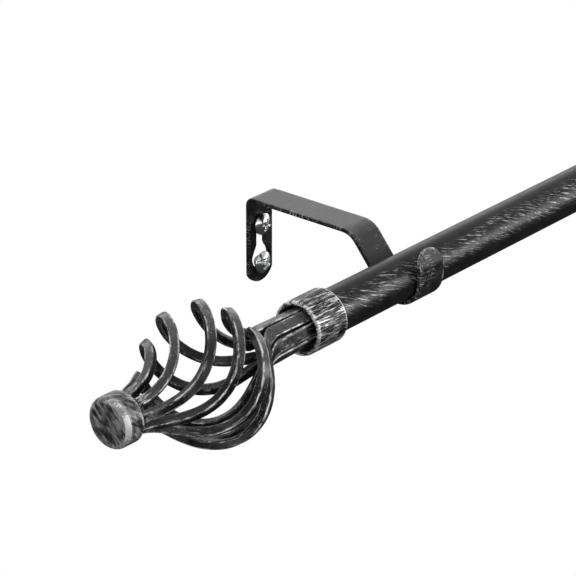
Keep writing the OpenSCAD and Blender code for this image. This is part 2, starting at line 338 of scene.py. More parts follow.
def brushed_black(name, marks, area, edges, dust=0.0, grey=0.2, cloud=0.0, speck=0.0, satin=(0.3, 0.42),
                  bands=()):
    """Satin black paint with silver dragged over it by a dry brush, rubbed bare in places on its edges.

    marks is a brush mark's (length, width, turn, bend) in mm and radians with its level, the noise above
    which silver shows, its softness and its strength. Marks grow where the surface is slightly worn. area is
    the (size in mm, level) of the brushed places, edges the (level, strength, softness) of the rubbed
    arrises, dust the grey on upward faces, grey the mottling of the black, cloud its larger paler places,
    speck the share of fine silver dots and satin the paint's (least, most) roughness. bands are the
    (middle, half width) in mm of the stretches round the piece where the silver marks are kept, with none
    outside them. A band on the side that the light catches is partly real brushing and partly a painted
    highlight: silver kept only where the marks glint.
    """
    look = Look(name)
    length, width, turn, bend, level, soft, strength = marks
    drift = look.noise(look.place, 26 * MM, detail=0.0, shift=1.3)
    curve = look.add("ShaderNodeCombineXYZ")
    look.feed(curve.inputs["Y"], look.math("MULTIPLY", drift, bend))
    swept = look.add("ShaderNodeVectorMath", operation="ADD")
    look.feed(swept.inputs[0], look.brush)
    look.feed(swept.inputs[1], curve.outputs[0])
    swept = swept.outputs[0]
    bristle = look.noise(swept, (length, width, 1.0), detail=3.0, rough=0.6, turn=turn)
    stroke = look.noise(swept, (length * 2.2, width * 4.0, 1.0), detail=2.0, turn=turn, shift=31.0)
    silver = look.math("ADD", look.math("MULTIPLY", bristle, 0.6), look.math("MULTIPLY", stroke, 0.4))
    handled = look.math("MINIMUM", look.wear, 0.15)
    silver = look.math("ADD", silver, look.math("MULTIPLY", handled, 0.3))
    silver = look.step(silver, level, level + soft, 0.0, strength)
    size, patch_level = area
    place = look.noise(look.place, size * MM, detail=1.5, shift=0.37)
    place = look.math("ADD", place, handled)
    place = look.step(place, patch_level, patch_level + 0.16)
    silver = look.math("MULTIPLY", silver, place)
    # The silver marks are kept to the bands. This is partly real brushing and partly a painted highlight: a
    # band on the lit side holds the marks only where they glint.
    if bands:
        round_piece = look.add("ShaderNodeSeparateXYZ")
        look.feed(round_piece.inputs[0], swept)
        mark_and_glint_band = 0.0
        for middle, half in bands:
            off = look.math("ABSOLUTE", look.math("SUBTRACT", round_piece.outputs["Y"], middle))
            mark_and_glint_band = look.math("MAXIMUM", mark_and_glint_band, look.step(off, half * 0.45, half, 1.0, 0.0))
        silver = look.math("MULTIPLY", silver, mark_and_glint_band)

    rub_level, rub_strength, rub_soft = edges
    chips = look.noise(look.brush, (1.5, 0.45, 1.0), detail=3.0, rough=0.6, shift=7.0)
    runs = look.noise(look.place, 7 * MM, detail=1.0, shift=4.1)
    rubbed = look.math("ADD", look.math("MULTIPLY", chips, 1.6), look.math("MULTIPLY", runs, 1.8))
    rubbed = look.math("ADD", rubbed, look.wear)
    bare = rub_level + RUB_NOISE
    rubbed = look.step(rubbed, bare, bare + rub_soft, 0.0, rub_strength)
    rubbed = look.math("MULTIPLY", rubbed, look.step(look.wear, 0.3, 0.7))
    silver = look.math("MAXIMUM", silver, rubbed)
    if speck:
        dots = look.noise(look.brush, (0.75, 0.4, 1.0), detail=2.0, shift=11.0, turn=turn)
        fields = look.step(look.noise(look.place, 9 * MM, detail=1.0, shift=8.0), 0.5, 0.6)
        dots = look.step(dots, 0.68 - 0.16 * speck, 0.78 - 0.16 * speck, 0.0, 0.7)
        dots = look.math("MULTIPLY", dots, fields)
        silver = look.math("MAXIMUM", silver, dots)

    mottle = look.noise(look.place, 3.2 * MM, detail=5.0, rough=0.65, shift=2.0)
    settled = look.math("MULTIPLY", look.dust, look.step(mottle, 0.25, 0.75, dust * 0.75, dust * 1.1))
    haze = look.math("MAXIMUM", look.step(mottle, 0.4, 0.75, 0.0, grey), settled)
    if cloud:
        billow = look.noise(look.place, 7 * MM, detail=3.0, shift=6.0)
        billow = look.math("ADD", billow, look.math("MULTIPLY", look.wear, 0.12))
        haze = look.math("MAXIMUM", haze, look.step(billow, 0.5, 0.72, 0.0, cloud))
    paint = look.mix(haze, BLACK, DUSTY)
    look.set(Base_Color=look.mix(silver, paint, SILVER))
    look.set(Metallic=look.math("MULTIPLY", silver, 0.35), IOR=1.35)
    matt = look.step(mottle, 0.3, 0.7, *satin)
    look.set(Roughness=look.math("ADD", matt, look.math("MULTIPLY", silver, 0.06)))
    peel = look.noise(look.place, 0.45 * MM, detail=2.0, shift=5.0)
    height = look.math("ADD", look.math("MULTIPLY", peel, 0.3), look.math("MULTIPLY", silver, 0.7))
    look.bump(height, 0.05)
    return look.material


def bright_plating(name):
    """Bright zinc plating with fine turning marks and faint handling haze."""
    look = Look(name)
    haze = look.noise(look.place, 1.8 * MM, detail=4.0)
    look.set(Base_Color=look.mix(look.step(haze, 0.35, 0.7), (0.86, 0.87, 0.88), (0.68, 0.69, 0.7)))
    look.set(Metallic=1.0, Roughness=look.step(haze, 0.3, 0.75, 0.12, 0.24))
    look.bump(look.noise(look.brush, (2.0, 0.12, 1.0), detail=2.0), 0.01)
    return look.material


def dark_steel(name):
    """Oxidised steel with dull and darker blotches."""
    look = Look(name)
    blotch = look.noise(look.place, 1.6 * MM, detail=5.0, rough=0.65)
    look.set(Base_Color=look.mix(look.step(blotch, 0.35, 0.7), (0.03, 0.03, 0.032), (0.12, 0.12, 0.125)))
    look.set(Metallic=0.7, Roughness=look.step(blotch, 0.3, 0.7, 0.38, 0.6))
    look.bump(blotch, 0.08)
    return look.material


def moulded_plastic(name, colour, shade):
    """Moulded plastic with a fine spark-eroded grain and faint flow marks."""
    look = Look(name)
    flow = look.noise(look.place, (14 * MM, 3 * MM, 3 * MM), detail=3.0)
    grain = look.noise(look.place, 0.22 * MM, detail=2.0)
    look.set(Base_Color=look.mix(look.step(flow, 0.35, 0.7), colour, shade))
    look.set(Roughness=look.step(grain, 0.3, 0.7, 0.42, 0.58))
    look.bump(grain, 0.02)
    return look.material


# The tube's first band, along the upper side toward the room, is partly a painted highlight where the marks
# glint. The second band is brushing only.
TUBE = brushed_black("brushed_black_tube",
                     (4.2, 0.17, 0.42, 6.0, 0.545, 0.07, 0.8),
                     (16.0, 0.2), (0.6, 0.6, 0.25),
                     grey=0.05, bands=((20.5, 5.2), (45.0, 5.0)))
STRIP = brushed_black("brushed_black_strip",
                      (2.4, 0.15, 1.4, 4.0, 0.6, 0.05, 0.75),
                      (11.0, 0.5), (0.72, 0.9, 0.35),
                      dust=0.62, grey=0.16, speck=0.3)
BARS = brushed_black("brushed_black_bars",
                     (4.0, 0.3, 0.0, 3.0, 0.58, 0.1, 0.7),
                     (12.0, 0.5), (0.75, 1.0, 0.6),
                     dust=0.6, grey=0.05, cloud=0.3, speck=0.35, satin=(0.22, 0.36))
COLLARS = brushed_black("brushed_black_collar",
                        (4.6, 0.22, 0.0, 0.6, 0.53, 0.03, 1.0),
                        (12.0, 0.25), (1.1, 1.0, 0.08),
                        grey=0.2, cloud=0.3)
CAPS = brushed_black("brushed_black_cap",
                     (3.4, 0.3, 0.785, 2.0, 0.5, 0.16, 0.6),
                     (6.0, 0.3), (0.8, 1.0, 0.2),
                     dust=0.3, grey=0.8, cloud=1.6)
PLATING = bright_plating("bright_zinc")
STEEL = dark_steel("oxidised_steel")
WHITE_PLASTIC = moulded_plastic("white_moulded_plastic", (0.78, 0.77, 0.73), (0.7, 0.69, 0.66))
BLACK_PLASTIC = moulded_plastic("black_moulded_plastic", (0.02, 0.02, 0.022), (0.032, 0.032, 0.035))


# ---------------------------------------------------------------- tubes

def along_x(x, y=-REACH, z=0.0):
    return Matrix.Translation((x, y, z))


def tube(node, material, slot, body):
    """A thin tube with deburred ends."""
    low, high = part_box(node)
    r = (high.z - low.z) / 2 / MM
    length = (high.x - low.x) / MM
    bore = r - TUBE_WALL
    margin, steps = 0.7, 38
    middle = [margin + (length - 2 * margin) * i / steps for i in range(steps + 1)]
    ends, worn = rounded_edges([(r, 0), (r, length), (bore, length), (bore, 0)], [0.25] * 4, 3)
    first, second = ends[:4], ends[4:8]
    outline = first + [(r, x) for x in middle] + second + ends[8:12]
    outline += [(bore, x) for x in middle[::-1]] + ends[12:]
    plain = [0.0] * len(middle)
    wear = worn[:4] + plain + worn[4:12] + plain + worn[12:]
    piece = lathe(node + "_tube", outline, material, along_x(low.x / MM), True, 128, wear)
    return finish_piece(piece, body, slot, node)


def finish_piece(piece, body, slot, *nodes):
    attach(piece, body)
    if nodes:
        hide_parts(*nodes)
    return piece


tube("outer_tube", TUBE, "tube_finish", "outer_rod")
tube("inner_tube", TUBE, "tube_finish", "inner_rod")


def glide():
    """The white ring on the hidden end of the inner tube, with three raised ribs and a chamfered lip."""
    low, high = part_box("inner_tube_glide")
    outer = (high.z - low.z) / 2 / MM
    length = (high.x - low.x) / MM
    bore = 6.55
    body = outer - 0.25
    corners = [(bore, 0), (body - 0.1, 0), (body, 0.6)]
    for i in range(3):
        start = 2.4 + 3.6 * i
        corners += [(body, start), (outer, start + 0.3), (outer, start + 1.5), (body, start + 1.8)]
    corners += [(body, length), (bore, length)]
    outline, wear = rounded_edges(corners, [0.04] * len(corners), 2)
    piece = lathe("inner_tube_glide_ring", outline, WHITE_PLASTIC, along_x(low.x / MM), True, 96, wear)
    finish_piece(piece, "inner_rod", "bush_plastic", "inner_tube_glide")


def adapter():
    """The split black sleeve in the right collar."""
    low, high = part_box("finial_adapter")
    length = (high.x - low.x) / MM
    r, bore, split = 8.0, 6.55, math.degrees(math.asin(0.6 / 8.0))
    steps = 96
    turn = [math.radians(90 + split + (360 - 2 * split) * i / steps) for i in range(steps + 1)]
    section, wear = rounded_edges([(r, 0), (r, length), (bore, length), (bore, 0)], [0.2] * 4, 3)
    rings = [[(x, q * math.cos(a), q * math.sin(a)) for q, x in section] for a in turn]
    along = [r * a for a in turn]
    around = [0.0]
    for i in range(len(section)):
        around.append(around[-1] + math.dist(section[i], section[(i + 1) % len(section)]))
    place = along_x(low.x / MM)
    wear = wear * (steps + 1)
    piece = loft("finial_adapter_sleeve", rings, along, around, wear, BLACK_PLASTIC, True, place)
    finish_piece(piece, "inner_rod", "adapter_plastic", "finial_adapter")


glide()
adapter()


# ---------------------------------------------------------------- brackets

def strip_course():
    """The strip side on, as (length, place) stretches. place gives the (y, z) of the wall, top and rod
    face at a share of the stretch and the direction from there into the strip's thickness."""
    half = STRIP_T / 2
    lean = math.radians(TIP_LEAN)
    slope = math.radians(SLOPE_ANGLE)
    corner = -REACH + (CRADLE_R + math.cos(slope) * (ARM_RISE - CRADLE_Z)) / math.sin(slope)
    wall_c = (-STRIP_T - WALL_BEND_R, ARM_RISE - STRIP_T - WALL_BEND_R)
    slope_c = (corner + SLOPE_BEND_R * math.tan(slope / 2), ARM_RISE - SLOPE_BEND_R)
    cradle_c = (-REACH, CRADLE_Z)
    tip_c = (-REACH - CRADLE_R + TIP_BEND_R, CRADLE_Z + TIP_BEND_Z)

    def bend(centre, r, a0, a1, inward):
        def place(share):
            a = math.radians(a0 + (a1 - a0) * share)
            out = Vector((math.cos(a), math.sin(a)))
            return Vector(centre) + out * r, -out if inward else out
        middle = r - half if inward else r + half
        return abs(math.radians(a1 - a0)) * middle, place

    def straight(start, end, into):
        return (end - start).length, lambda share: (start.lerp(end, share), into)

    bends = [
        bend(wall_c, WALL_BEND_R + STRIP_T, 0, 90, True),
        bend(slope_c, SLOPE_BEND_R, 90, 90 + SLOPE_ANGLE, True),
        bend(cradle_c, CRADLE_R, SLOPE_ANGLE - 90, -180, False),
        bend(tip_c, TIP_BEND_R, 180, 180 - TIP_LEAN, False),
    ]
    course, (start, into) = [], (Vector((0, -PLATE_DROP)), Vector((-1, 0)))
    for length, place in bends:
        first, first_into = place(0.0)
        course.append(straight(start, first, first_into))
        course.append((length, place))
        start, into = place(1.0)
    tip = Vector((math.sin(lean), math.cos(lean)))
    course.append(straight(start, start + tip * TIP_LEN, into))
    return course


COURSE = strip_course()
STRIP_LEN = sum(length for length, _ in COURSE)


def on_strip(s, x, depth):
    """The point at distance s along the strip, x across it and depth below its wall, top and rod face."""
    for length, place in COURSE:
        if s <= length or place is COURSE[-1][1]:
            face, into = place(s / length)
            y, z = face + into * depth
            return x, y, z
        s -= length


def strip_outlines():
    """The flat strip's edge and its keyhole as closed lists of (s, x), both with the metal on their left."""
    half = STRIP_W / 2
    foot_a = math.degrees(math.asin(half / PLATE_END_R))
    foot = arc(PLATE_END_R, 0, PLATE_END_R, 180 - foot_a, 180 + foot_a, 28)
    tip = arc(STRIP_LEN - half, 0, half, -90, 90, 40)
    start, end = foot[-1][0], tip[0][0]
    count = round((end - start) / 0.55)
    side = [start + (end - start) * i / count for i in range(1, count)]
    edge = foot + [(s, -half) for s in side] + tip + [(s, half) for s in side[::-1]]
    middle, r, slot = PLATE_DROP - KEYHOLE_DROP, KEYHOLE_D / 2, SLOT_W / 2
    mouth = math.degrees(math.asin(slot / r))
    ease = 12
    big = arc(middle, 0, r, mouth + ease, 360 - mouth - ease, 56)
    small = arc(PLATE_DROP, 0, slot, -90, 90, 24)
    neck = middle + r * math.cos(math.radians(mouth)) + 1.2
    low = [(neck + (PLATE_DROP - neck) * i / 8, -slot) for i in range(8)]
    hole = big + low + small + [(s, -x) for s, x in low[::-1]]
    return edge, hole[::-1]


def inset(loop, by):
    """The closed loop moved to its left by a distance."""
    moved = []
    count = len(loop)
    for i, here in enumerate(loop):
        back, on = Vector(loop[i - 1]), Vector(loop[(i + 1) % count])
        here = Vector(here)
        a, b = (here - back).normalized(), (on - here).normalized()
        left = Vector((-a.y - b.y, a.x + b.x))
        left *= by / max(0.2, left.dot(Vector((-a.y, a.x))))
        moved.append(tuple(here + left))
    return moved


def bracket(side):
    """One bent strip with rounded arrises and a keyhole, made flat and then bent along its course."""
    low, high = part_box(side + "_bracket")
    loops = strip_outlines()
    steps = 4
    profile = arc(STRIP_EDGE_R, STRIP_EDGE_R, STRIP_EDGE_R, 270, 180, steps)
    profile += arc(STRIP_EDGE_R, STRIP_T - STRIP_EDGE_R, STRIP_EDGE_R, 180, 90, steps)
    flat, wear, faces, levels = [], [], [], []
    for loop in loops:
        starts = []
        for by, depth in profile:
            starts.append(len(flat))
            flat += [(s, x, depth) for s, x in inset(loop, by)]
            on_arris = 0.05 < by < STRIP_EDGE_R * 0.95 and 0.05 < depth < STRIP_T - 0.05
            for s, _ in loop:
                rub = rubbing(s, loop is loops[1])
                wear.append(rub if on_arris else rub * rub * FACE_RUB)
        levels.append(starts)
        for a, b in zip(starts, starts[1:]):
            for i in range(len(loop)):
                k = (i + 1) % len(loop)
                faces.append((a + i, a + k, b + k, b + i))
    pitch, columns = 0.55, (-5.4, -4.2, -2.1, 0, 2.1, 4.2, 5.4)
    grid = [(2 + i * pitch, x) for i in range(int((STRIP_LEN - 4) / pitch)) for x in columns]
    for level, depth, flip in ((0, 0.0, True), (-1, STRIP_T, False)):
        rims = [inset(loop, STRIP_EDGE_R) for loop in loops]
        inner = [p for p in grid if inside(p, loops)]
        given = rims[0] + rims[1] + inner
        edges, first = [], 0
        for rim in rims:
            edges += [(first + i, first + (i + 1) % len(rim)) for i in range(len(rim))]
            first += len(rim)
        made = delaunay_2d_cdt([Vector(p) for p in given], edges, [], 0, 1e-6)
        names = {}
        for k, origin in enumerate(made[3]):
            source = origin[0] if origin else None
            if source is not None and source < len(rims[0]):
                names[k] = levels[0][level] + source
            elif source is not None and source < first:
                names[k] = levels[1][level] + source - len(rims[0])
            else:
                names[k] = len(flat)
                flat.append((*made[0][k], depth))
                wear.append(0.12 * smooth((made[0][k][0] - STRIP_LEN + 16) / 5) if depth else 0.0)
        for face in made[2]:
            centre = sum((made[0][k] for k in face), Vector((0, 0))) / len(face)
            if within(centre, loops):
                order = [names[k] for k in face]
                faces.append(order[::-1] if flip else order)
    bent = [on_strip(*p) for p in flat]
    shift = (low.x + high.x) / 2 / MM
    points = [(x + shift, y, z) for x, y, z in bent]
    uvs = [(flat[k][0], flat[k][1] + flat[k][2]) for face in faces for k in face]
    piece = build(side + "_bracket_strip", points, faces, uvs, wear, STRIP)
    return finish_piece(piece, "wall_brackets", "bracket_finish", side + "_bracket")


def rubbing(s, keyhole):
    """How much the strip's arris is rubbed at a distance along it: most at the hook, never in the keyhole."""
    return 0.0 if keyhole else 0.58 + 0.42 * smooth((s - STRIP_LEN + 22) / 6)


def within(p, loops):
    """True if p is on the metal: in the edge and out of the keyhole."""
    return crossings(p, loops[0]) % 2 == 1 and crossings(p, loops[1]) % 2 == 0


def crossings(p, loop):
    found = 0
    for a, b in zip(loop, loop[1:] + loop[:1]):
        if (a[1] > p[1]) != (b[1] > p[1]) and p[0] < a[0] + (p[1] - a[1]) / (b[1] - a[1]) * (b[0] - a[0]):
            found += 1
    return found


def inside(p, loops):
    """True if p is on the metal and at least a face's width from its edges."""
    near = STRIP_EDGE_R + 0.35
    if p[0] > PLATE_DROP + 4 and p[0] < STRIP_LEN - STRIP_W:
        return abs(p[1]) < STRIP_W / 2 - near
    return within(p, loops) and all(math.dist(p, q) > near for loop in loops for q in loop)


# ---------------------------------------------------------------- wall screws

def recess_depth(u, v):
    """How deep the cross recess is at a point of the head, its arms along u and v."""
    u, v = abs(u), abs(v)
    long, across = max(u, v), min(u, v)
    reach = 2.35 - long
    arm = 0.5 + 0.12 * (1 - long / 2.35)
    wall = max(0.0, min(1.0, (arm - across) / 0.16)) * max(0.0, min(1.0, reach / 0.3))
    core = max(0.0, min(1.0, (1.15 - math.hypot(u, v)) / 0.35))
    floor = 0.85 + 1.0 * max(0.0, 1 - long / 1.6)
    return max(wall, core * 0.9) * floor


def screw(side, place_name, drop, turn):
    """A pan head wood screw with a cross recess and a rolled thread that ends in a point."""
    node = f"{side}_{place_name}_wall_screw"
    low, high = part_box(node)
    segments = 120
    dome = HEAD_H - HEAD_EDGE
    dome_r = (HEAD_D ** 2 / 4 + dome ** 2) / (2 * dome)
    rings, along, wear = [], [], []
    top = -HEAD_H
    for i in range(46):
        r = HEAD_D / 2 * (i + 0.02) / 45.02
        h = top + dome_r - math.sqrt(dome_r ** 2 - r ** 2)
        ring = []
        for j in range(segments):
            a = 2 * math.pi * j / segments
            b = a - math.radians(turn)
            u, v = r * math.cos(b), r * math.sin(b)
            ring.append((r * math.cos(a), r * math.sin(a), h + recess_depth(u, v)))
        rings.append(ring)
    edge = arc(HEAD_D / 2 - 0.15, -0.15, 0.15, 0, 90, 4)
    neck = SHANK_D / 2 - 0.1
    grip = STRIP_T + HEAD_GAP
    turned = edge + [(neck + 0.25, 0), (neck + 0.05, 0.06), (neck, 0.3)]
    turned += [(neck, grip - 0.1), (SHANK_D / 2, grip)]
    turned += [(SHANK_D / 2, grip + (PLAIN_LEN - grip) * k / 4) for k in range(1, 5)]
    for r, h in turned:
        rings.append([(r * math.cos(2 * math.pi * j / segments), r * math.sin(2 * math.pi * j / segments), h)
                      for j in range(segments)])
    steps = 12
    thread_end = SCREW_LEN - 0.6
    count = int((thread_end - PLAIN_LEN) / THREAD_PITCH * steps)
    for i in range(1, count + 1):
        h = PLAIN_LEN + THREAD_PITCH * i / steps
        taper = max(0.0, (h - (SCREW_LEN - POINT_LEN)) / POINT_LEN)
        core = (CORE_D / 2) * (1 - taper) + 0.12 * taper
        crest = core + (SHANK_D - CORE_D) / 2 * (1 - 0.75 * taper)
        fade = min(1.0, (h - PLAIN_LEN) / THREAD_PITCH)
        ring = []
        for j in range(segments):
            a = 2 * math.pi * j / segments
            phase = (h / THREAD_PITCH - a / (2 * math.pi)) % 1.0
            ridge = max(0.0, 1 - abs(phase - 0.5) / 0.24)
            base = core + (SHANK_D / 2 - core) * (1 - fade)
            r = base + (crest - base) * ridge
            ring.append((r * math.cos(a), r * math.sin(a), h))
        rings.append(ring)
    rings.append([(0.03 * math.cos(2 * math.pi * j / segments), 0.03 * math.sin(2 * math.pi * j / segments),
                   SCREW_LEN) for j in range(segments)])
    total = 0.0
    for i, ring in enumerate(rings):
        total += math.dist(ring[0], rings[i - 1][0]) if i else 0.0
        along.append(total)
        wear += [0.0] * segments
    around = [math.pi * HEAD_D * j / segments for j in range(segments + 1)]
    x = (low.x + high.x) / 2 / MM
    place = Matrix.Translation((x, -STRIP_T - HEAD_GAP, -drop)) @ Matrix.Rotation(math.radians(-90), 4, "X")
    piece = loft(node + "_body", rings, along, around, wear, PLATING, True, place)
    finish_piece(piece, "wall_brackets", "screw_plating", node)


for side in SIDES:
    bracket(side)
    screw(side, "upper", 0.0, 20.0)
    screw(side, "lower", SCREW_SPACING, 28.0)


# ---------------------------------------------------------------- finials

def finial_place(side):
    """From a finial drawn with its collar's inboard face at 0 and pointing along +X, to the rod's end."""
    low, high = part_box(side + "_collar")
    if side == "left":
        return Matrix.Translation((high.x / MM, -REACH, 0)) @ Matrix.Rotation(math.pi, 4, "Z")
    return Matrix.Translation((low.x / MM, -REACH, 0))


def set_screw_frame():
    """The set screw's own axes in a finial: its middle line starts on the finial's axis and is +Z."""
    a = math.radians(SET_ANGLE)
    out = Vector((0, math.cos(a), -math.sin(a)))
    side = Vector((1, 0, 0))
    axes = Matrix((side, out.cross(side), out)).transposed().to_4x4()
    return Matrix.Translation((SET_INSET, 0, 0)) @ axes


def collar(side):
    """The short sleeve with a rounded bright lip, a chamfered bore and a tapped hole."""
    bore, skin, length = COLLAR_BORE / 2, COLLAR_D / 2, COLLAR_LEN
    dent_depth = 0.06
    corners = [(bore, 0), (skin, 0), (skin, length), (bore, length)]
    outline, wear = rounded_edges(corners, [0.25, 0.35, 0.7, 0.5], 6)
    wear = [0.0] * 7 + wear[7:21] + [0.0] * 7
    middle = [0.75 + (length - 2.1) * i / 12 for i in range(13)]
    outer = [(skin, x) for x in middle]
    inner = [(bore, x) for x in middle[::-1]]
    cut = 14
    outline = outline[:cut] + outer + outline[cut:] + inner
    wear = wear[:cut] + [0.0] * len(outer) + wear[cut:] + [0.0] * len(inner)

    def worked(p, r, a):
        if r < COLLAR_D / 2 - 0.3:
            return p
        dent = abs(noise.noise(Vector((p.x * 0.25, p.y * 0.6, p.z * 0.6))))
        return p + Vector((0, p.y, p.z)).normalized() * -dent_depth * dent

    place = finial_place(side)
    piece = lathe(side + "_collar_ring", outline, COLLARS, place, True, 192, wear, worked)
    hole = SET_D / 2 + 0.05
    cutter = lathe("cutter", [(hole, 6.0), (hole, 12.0)], STEEL, Matrix.Identity(4), segments=64)
    turn = place @ set_screw_frame() @ Matrix.Rotation(math.radians(-90), 4, "Y")
    cutter.data.transform(Matrix.Scale(1 / MM, 4))
    cutter.data.transform(turn)
    cutter.data.transform(Matrix.Scale(MM, 4))
    drill = piece.modifiers.new("set_hole", "BOOLEAN")
    drill.object = cutter
    drill.solver = "EXACT"
    drill.material_mode = "TRANSFER"
    piece.modifiers.move(len(piece.modifiers) - 1, 1)
    bpy.context.view_layer.update()
    cut_mesh = bpy.data.meshes.new_from_object(piece.evaluated_get(bpy.context.evaluated_depsgraph_get()))
    piece.modifiers.clear()
    piece.data = cut_mesh
    bpy.data.objects.remove(cutter)
    finish_piece(piece, side + "_finial", "turned_finish", side + "_collar")


def set_screw(side):
    """The hexagon socket screw in the collar."""
    node = side + "_set_screw"
    base, top = 8.3, COLLAR_D / 2 - 0.25
    flats = SET_D / 4
    segments = 72

    def circle(r, h):
        return [(r * math.cos(2 * math.pi * j / segments), r * math.sin(2 * math.pi * j / segments), h)
                for j in range(segments)]

    def hexagon(r, h):
        ring = []
        for j in range(segments):
            a = 2 * math.pi * j / segments
            part = (a % (math.pi / 3)) - math.pi / 6
            q = r * math.cos(math.pi / 6) / math.cos(part)
            ring.append((q * math.cos(a), q * math.sin(a), h))
        return ring

    r = SET_D / 2
    rings = [circle(0.02, base), circle(r - 0.4, base), circle(r, base + 0.35), circle(r, top - 0.25)]
    rings += [circle(r - 0.2, top), circle(flats + 0.12, top), hexagon(flats, top - 0.12)]
    rings += [hexagon(flats, top - 0.8), hexagon(0.05, top - 1.0)]
    along = [i * 0.6 for i in range(len(rings))]
    around = [2 * math.pi * r * j / segments for j in range(segments + 1)]
    wear = [0.0] * (segments * len(rings))
    place = finial_place(side) @ set_screw_frame()
    piece = loft(node + "_body", rings, along, around, wear, STEEL, True, place)
    finish_piece(piece, side + "_grub", "set_screw_steel", node)


def neck_plug(side):
    """The plug inside the collar, with the spigot that the bars are welded round."""
    rim, spigot, tip = COLLAR_BORE / 2 - 0.05, SPIGOT_D / 2, PLUG_FRONT + SPIGOT_LEN
    corners = [(0, PLUG_BACK), (rim, PLUG_BACK), (rim, PLUG_FRONT),
               (spigot, PLUG_FRONT), (spigot, tip), (0, tip)]
    outline, wear = rounded_edges(corners, [0, 0.3, 0.3, 0.4, 0.5, 0], 4)
    piece = lathe(side + "_neck_plug_body", outline, STEEL, finial_place(side), wear=wear)
    finish_piece(piece, side + "_finial", "plain_steel", side + "_neck_plug")


def end_cap(side):
    """The thick button at the finial's tip, its face slightly crowned and its edge worn bright, brightest on
    its upper room-facing side as a painted highlight.
    """
    r, outer = CAP_D / 2, CAGE_END + CAP_T
    back = [(0, CAGE_END - 6.0), (SPIGOT_D / 2, CAGE_END - 6.0), (SPIGOT_D / 2, CAGE_END)]
    rear = arc(r - 0.5, CAGE_END + 0.5, 0.5, -90, 0, 5)
    side_points = [(r, CAGE_END + 0.5 + (CAP_T - CAP_ROUND - 0.5) * i / 6) for i in range(1, 6)]
    front = arc(r - CAP_ROUND, outer - CAP_ROUND, CAP_ROUND, 0, 84, 10)
    face = [(front[-1][0] * (1 - i / 9), outer - 0.02 * (1 - (i / 9) ** 2)) for i in range(1, 9)]
    face += [(0.02, outer)]
    outline = back + rear + side_points + front + face
    wear = [0, 0, 0] + [0.9] * len(rear) + [0.0] * len(side_points)
    wear += [0.5] + [1.0] * (len(front) - 3) + [0.5, 0.2] + [0.0] * len(face)

    def worked(p, q, a):
        if q < SPIGOT_D / 2 + 0.2 and p.x < CAGE_END:
            return p
        dent = 0.08 * noise.noise(Vector((p.x * 0.5, p.y * 0.3, p.z * 0.3)))
        inward = Vector((0, p.y, p.z)) * (-0.01 - abs(dent) * 0.06)
        return p + inward

    # The rim's silver peaks at this angle, on the upper side facing the room, and tapers away from it. This
    # is worn edge all round plus a painted highlight where light glints off the rim.
    turn = math.radians(250 if side == "left" else 110)

    def rub(a):
        return 0.52 + 0.48 * smooth((math.cos(a - turn) - 0.1) / 0.6)

    piece = lathe(side + "_end_cap_body", outline, CAPS, finial_place(side), False, 160, wear, worked, rub)
    finish_piece(piece, side + "_finial", "turned_finish", side + "_end_cap")


def cap_weld(side):
    """The lumpy weld bead that joins the bars to the back of the cap."""
    bead = [(RING_R + 1.1 + q, CAGE_END - 0.5 + x) for q, x in arc(0, 0, 1.15, 0, 337.5, 15)]

    def lumpy(p, q, a):
        lump = noise.noise(Vector((0.0, p.y, p.z)) * 0.45) + 0.5 * noise.noise(p * 1.4)
        return p + Vector((-0.9 * abs(lump), 0, 0)) + Vector((0, p.y, p.z)).normalized() * 0.7 * lump

    piece = lathe(side + "_cap_weld", bead, BARS, finial_place(side), True, 120, [0.35] * len(bead), lumpy)
    finish_piece(piece, side + "_finial", "cage_finish")


def cage_radius(v):
    return RING_R + (CAGE_R - RING_R) * max(0.0, math.sin(math.pi * v ** CAGE_SKEW)) ** CAGE_POWER


def cage_angle(v):
    return TWIST_START + TWIST_EVEN * v + TWIST_GROW * (v * v - v) - TWIST_EASE * math.sin(2 * math.pi * v)


def bar_line(number):
    """The middle line of a bar from the cap to the plug."""
    span = (CAGE_END - NECK_END) / (1 - CAGE_START)
    steps = 150
    turn = -(number - 1) * 360 / BAR_COUNT

    def bar_angle(v):
        return cage_angle(v) + BAR_STRAY[number - 1] * math.sin(math.pi * v ** CAGE_SKEW)

    stations = [(CAGE_END, RING_R, bar_angle(CAGE_START))]
    for i in range(1, steps + 1):
        v = CAGE_START + (1 - CAGE_START) * i / steps
        stations.append((NECK_END + span * (1 - v), cage_radius(v), bar_angle(v)))
    for i in range(1, 9):
        dist = NECK_END + (PLUG_FRONT - NECK_END) * i / 8
        stations.append((dist, RING_R + (PLUG_RING_R - RING_R) * i / 8, cage_angle(1.0)))
    line = []
    for dist, r, angle in stations:
        a = math.radians(angle + turn)
        line.append(Vector((dist, r * math.cos(a), r * math.sin(a))))
    return line


def bar_section(steps=3):
    """A square with rounded corners round the origin and the wear at each point. Its outer face is at +x."""
    h = BAR_W / 2
    points, _ = rounded_edges([(h, h), (-h, h), (-h, -h), (h, -h)], [BAR_EDGE_R] * 4, steps)
    full, worn = [], []
    for i, p in enumerate(points):
        q = points[(i + 1) % len(points)]
        outer = 1.0 if p[0] > 0 else 0.72
        full.append(p)
        worn.append(outer * (1.0 if i % (steps + 1) in (1, 2) else 0.55))
        if math.dist(p, q) > 1.0:
            for share in (0.1, 0.35, 0.65, 0.9):
                full.append((p[0] + (q[0] - p[0]) * share, p[1] + (q[1] - p[1]) * share))
                worn.append(0.1 if share in (0.1, 0.9) else 0.0)
    return full, worn


